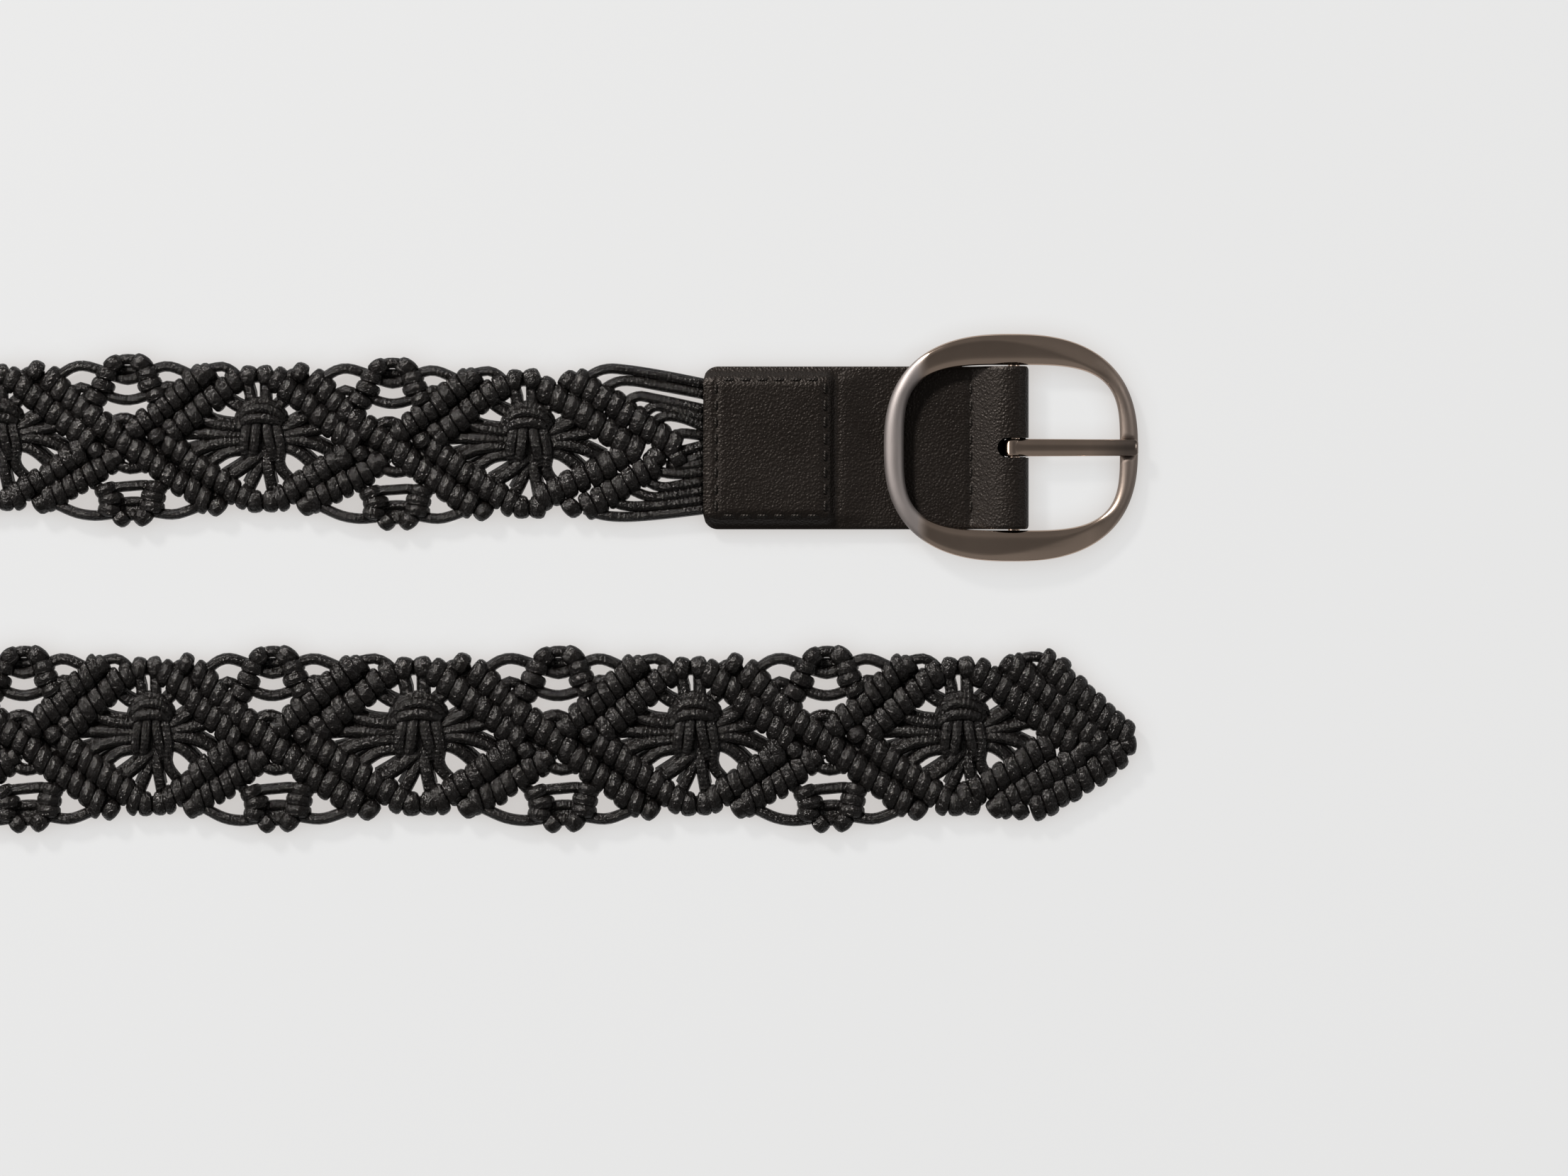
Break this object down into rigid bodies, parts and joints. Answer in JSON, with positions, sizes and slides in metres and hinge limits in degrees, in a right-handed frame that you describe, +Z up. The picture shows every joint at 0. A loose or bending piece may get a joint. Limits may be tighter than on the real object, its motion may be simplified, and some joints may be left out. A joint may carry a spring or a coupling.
{
  "type": "belt",
  "caption": "Knotted cord belt with pierced diamond pattern, leather buckle tab and oval metal buckle, laid doubled on a flat surface.",
  "frame": {"origin": "middle of the belt's footprint, on the surface it lies on", "axes": "+X along the two stretches, from the turn towards the buckle and the tip; +Y from the tip's stretch towards the buckle's; +Z up, out of the belt's front"},
  "size_m": [0.4812, 0.1242, 0.046],
  "materials": {
    "waxed_cord": "near-black waxed braided cotton cord",
    "leather": "black satin leather with painted edges",
    "gunmetal": "dark polished nickel with brushed end bars"
  },
  "bodies": {
    "strap": {"knotted_band": "waxed_cord", "leather_tab": "leather"},
    "frame": {"buckle_frame": "gunmetal"},
    "prong": {"prong": "gunmetal"}
  },
  "joints": [
    {"name": "frame_swivel", "type": "hinge", "parent": "strap", "child": "frame", "pos_m": [0.20943, 0.03362, 0.0037], "axis": [0, 1, 0], "range_deg": [0, 135]},
    {"name": "prong_swing", "type": "hinge", "parent": "frame", "child": "prong", "pos_m": [0.20943, 0.03362, 0.0037], "axis": [0, -1, 0], "range_deg": [0, 95]}
  ]
}
